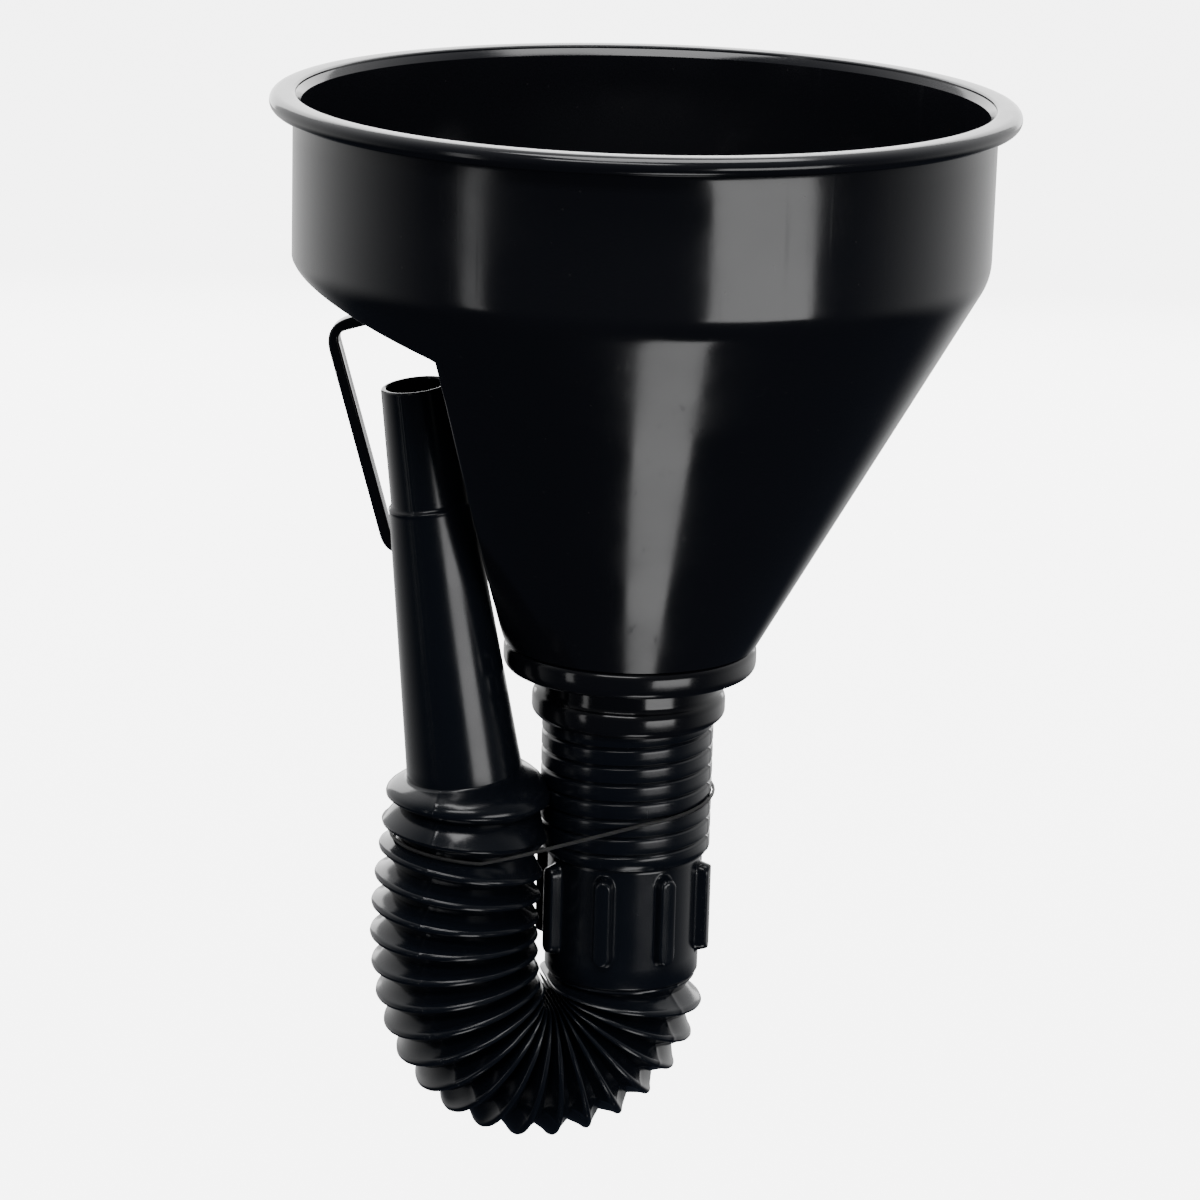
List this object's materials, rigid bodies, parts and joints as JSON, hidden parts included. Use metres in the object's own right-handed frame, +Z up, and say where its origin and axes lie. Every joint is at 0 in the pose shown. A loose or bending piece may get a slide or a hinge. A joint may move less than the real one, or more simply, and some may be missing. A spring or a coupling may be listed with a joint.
{
  "type": "flexible spout funnel",
  "caption": "Round filling funnel with a rolled rim, a recessed strap handle, a lift-out strainer and a flexible pleated spout folded up beside the bowl.",
  "frame": {"origin": "centre of the mouth, on the funnel's axis, in the plane of the rim's top", "axes": "+Z up along the funnel's axis, out of the mouth; -X towards the recessed handle and the folded spout; -Y is the front"},
  "size_m": [0.16, 0.16, 0.2354],
  "materials": {
    "funnel_plastic": "glossy black moulded plastic",
    "spout_plastic": "glossy black blow-moulded plastic",
    "strainer_frame": "satin black plastic",
    "gauze_brass": "woven brass wire",
    "band_rubber": "matt black rubber"
  },
  "bodies": {
    "funnel": {"bowl": "funnel_plastic", "handle": "funnel_plastic", "neck_flange": "funnel_plastic", "spout_socket": "funnel_plastic"},
    "strainer": {"strainer_ring": "strainer_frame", "strainer_gauze": "gauze_brass"},
    "spout_neck": {"spout_neck": "spout_plastic", "spout_grip": "spout_plastic", "retaining_band": "band_rubber"},
    "pleat_01": {"pleat_01": "spout_plastic"},
    "pleat_02": {"pleat_02": "spout_plastic"},
    "pleat_03": {"pleat_03": "spout_plastic"},
    "pleat_04": {"pleat_04": "spout_plastic"},
    "pleat_05": {"pleat_05": "spout_plastic"},
    "pleat_06": {"pleat_06": "spout_plastic"},
    "pleat_07": {"pleat_07": "spout_plastic"},
    "pleat_08": {"pleat_08": "spout_plastic"},
    "pleat_09": {"pleat_09": "spout_plastic"},
    "pleat_10": {"pleat_10": "spout_plastic"},
    "pleat_11": {"pleat_11": "spout_plastic"},
    "pleat_12": {"pleat_12": "spout_plastic"},
    "pleat_13": {"pleat_13": "spout_plastic"},
    "pleat_14": {"pleat_14": "spout_plastic"},
    "pleat_15": {"pleat_15": "spout_plastic"},
    "pleat_16": {"pleat_16": "spout_plastic"},
    "pleat_17": {"pleat_17": "spout_plastic"},
    "pleat_18": {"pleat_18": "spout_plastic"},
    "pleat_19": {"pleat_19": "spout_plastic"},
    "pleat_20": {"pleat_20": "spout_plastic"},
    "nozzle": {"nozzle_shoulder": "spout_plastic", "nozzle": "spout_plastic"}
  },
  "joints": [
    {"name": "strainer_lift", "type": "slide", "parent": "funnel", "child": "strainer", "axis": [0, 0, 1], "range_m": [0, 0.13]},
    {"name": "spout_release", "type": "slide", "parent": "funnel", "child": "spout_neck", "axis": [0, 0, -1], "range_m": [0, 0.03]},
    {"name": "unfold_01", "type": "hinge", "parent": "spout_neck", "child": "pleat_01", "pos_m": [0.00974, 0.00225, -0.1997], "axis": [0.225, -0.9744, 0], "range_deg": [0, 8.5]},
    {"name": "unfold_02", "type": "hinge", "parent": "pleat_01", "child": "pleat_02", "pos_m": [0.00882, 0.00204, -0.20603], "axis": [0.225, -0.9744, 0], "range_deg": [0, 13.2]},
    {"name": "unfold_03", "type": "hinge", "parent": "pleat_02", "child": "pleat_03", "pos_m": [0.00652, 0.0015, -0.21198], "axis": [0.225, -0.9744, 0], "range_deg": [0, 13.2]},
    {"name": "unfold_04", "type": "hinge", "parent": "pleat_03", "child": "pleat_04", "pos_m": [0.00295, 0.00068, -0.21723], "axis": [0.225, -0.9744, 0], "range_deg": [0, 13.2]},
    {"name": "unfold_05", "type": "hinge", "parent": "pleat_04", "child": "pleat_05", "pos_m": [-0.00169, -0.00039, -0.2215], "axis": [0.225, -0.9744, 0], "range_deg": [0, 13.2]},
    {"name": "unfold_06", "type": "hinge", "parent": "pleat_05", "child": "pleat_06", "pos_m": [-0.00716, -0.00165, -0.22457], "axis": [0.225, -0.9744, 0], "range_deg": [0, 13.2], "deforming": ["retaining_band"]},
    {"name": "unfold_07", "type": "hinge", "parent": "pleat_06", "child": "pleat_07", "pos_m": [-0.01317, -0.00304, -0.22628], "axis": [0.225, -0.9744, 0], "range_deg": [0, 13.2]},
    {"name": "unfold_08", "type": "hinge", "parent": "pleat_07", "child": "pleat_08", "pos_m": [-0.0194, -0.00448, -0.22654], "axis": [0.225, -0.9744, 0], "range_deg": [0, 13.2]},
    {"name": "unfold_09", "type": "hinge", "parent": "pleat_08", "child": "pleat_09", "pos_m": [-0.02553, -0.00589, -0.22533], "axis": [0.225, -0.9744, 0], "range_deg": [0, 13.2]},
    {"name": "unfold_10", "type": "hinge", "parent": "pleat_09", "child": "pleat_10", "pos_m": [-0.03122, -0.00721, -0.22272], "axis": [0.225, -0.9744, 0], "range_deg": [0, 13.2]},
    {"name": "unfold_11", "type": "hinge", "parent": "pleat_10", "child": "pleat_11", "pos_m": [-0.03618, -0.00835, -0.21884], "axis": [0.225, -0.9744, 0], "range_deg": [0, 13.2]},
    {"name": "unfold_12", "type": "hinge", "parent": "pleat_11", "child": "pleat_12", "pos_m": [-0.04015, -0.00927, -0.2139], "axis": [0.225, -0.9744, 0], "range_deg": [0, 12]},
    {"name": "unfold_13", "type": "hinge", "parent": "pleat_12", "child": "pleat_13", "pos_m": [-0.04303, -0.00993, -0.20822], "axis": [0.225, -0.9744, 0], "range_deg": [0, 9]},
    {"name": "unfold_14", "type": "hinge", "parent": "pleat_13", "child": "pleat_14", "pos_m": [-0.045, -0.01039, -0.20215], "axis": [0.225, -0.9744, 0], "range_deg": [0, 7]},
    {"name": "unfold_15", "type": "hinge", "parent": "pleat_14", "child": "pleat_15", "pos_m": [-0.04625, -0.01068, -0.19588], "axis": [0.225, -0.9744, 0], "range_deg": [0, 5.5]},
    {"name": "unfold_16", "type": "hinge", "parent": "pleat_15", "child": "pleat_16", "pos_m": [-0.0469, -0.01083, -0.18952], "axis": [0.225, -0.9744, 0], "range_deg": [0, 5.5]},
    {"name": "unfold_17", "type": "hinge", "parent": "pleat_16", "child": "pleat_17", "pos_m": [-0.04695, -0.01084, -0.18312], "axis": [0.225, -0.9744, 0], "range_deg": [0, 5]},
    {"name": "unfold_18", "type": "hinge", "parent": "pleat_17", "child": "pleat_18", "pos_m": [-0.04646, -0.01073, -0.17674], "axis": [0.225, -0.9744, 0], "range_deg": [0, 2]},
    {"name": "unfold_19", "type": "hinge", "parent": "pleat_18", "child": "pleat_19", "pos_m": [-0.04576, -0.01056, -0.17038], "axis": [0.225, -0.9744, 0], "range_deg": [0, 2]},
    {"name": "unfold_20", "type": "hinge", "parent": "pleat_19", "child": "pleat_20", "pos_m": [-0.04484, -0.01035, -0.16405], "axis": [0.225, -0.9744, 0], "range_deg": [-4.5, 0]},
    {"name": "unfold_21", "type": "hinge", "parent": "pleat_20", "child": "nozzle", "pos_m": [-0.0444, -0.01025, -0.15766], "axis": [0.225, -0.9744, 0], "range_deg": [-12, 0]}
  ],
  "couplings": [
    {"joint": "unfold_01", "follows": "unfold_06", "ratio": 0.64394},
    {"joint": "unfold_02", "follows": "unfold_06", "ratio": 1},
    {"joint": "unfold_03", "follows": "unfold_06", "ratio": 1},
    {"joint": "unfold_04", "follows": "unfold_06", "ratio": 1},
    {"joint": "unfold_05", "follows": "unfold_06", "ratio": 1},
    {"joint": "unfold_07", "follows": "unfold_06", "ratio": 1},
    {"joint": "unfold_08", "follows": "unfold_06", "ratio": 1},
    {"joint": "unfold_09", "follows": "unfold_06", "ratio": 1},
    {"joint": "unfold_10", "follows": "unfold_06", "ratio": 1},
    {"joint": "unfold_11", "follows": "unfold_06", "ratio": 1},
    {"joint": "unfold_12", "follows": "unfold_06", "ratio": 0.90909},
    {"joint": "unfold_13", "follows": "unfold_06", "ratio": 0.68182},
    {"joint": "unfold_14", "follows": "unfold_06", "ratio": 0.5303},
    {"joint": "unfold_15", "follows": "unfold_06", "ratio": 0.41667},
    {"joint": "unfold_16", "follows": "unfold_06", "ratio": 0.41667},
    {"joint": "unfold_17", "follows": "unfold_06", "ratio": 0.37879},
    {"joint": "unfold_18", "follows": "unfold_06", "ratio": 0.15152},
    {"joint": "unfold_19", "follows": "unfold_06", "ratio": 0.15152},
    {"joint": "unfold_20", "follows": "unfold_06", "ratio": -0.34091},
    {"joint": "unfold_21", "follows": "unfold_06", "ratio": -0.90909}
  ]
}
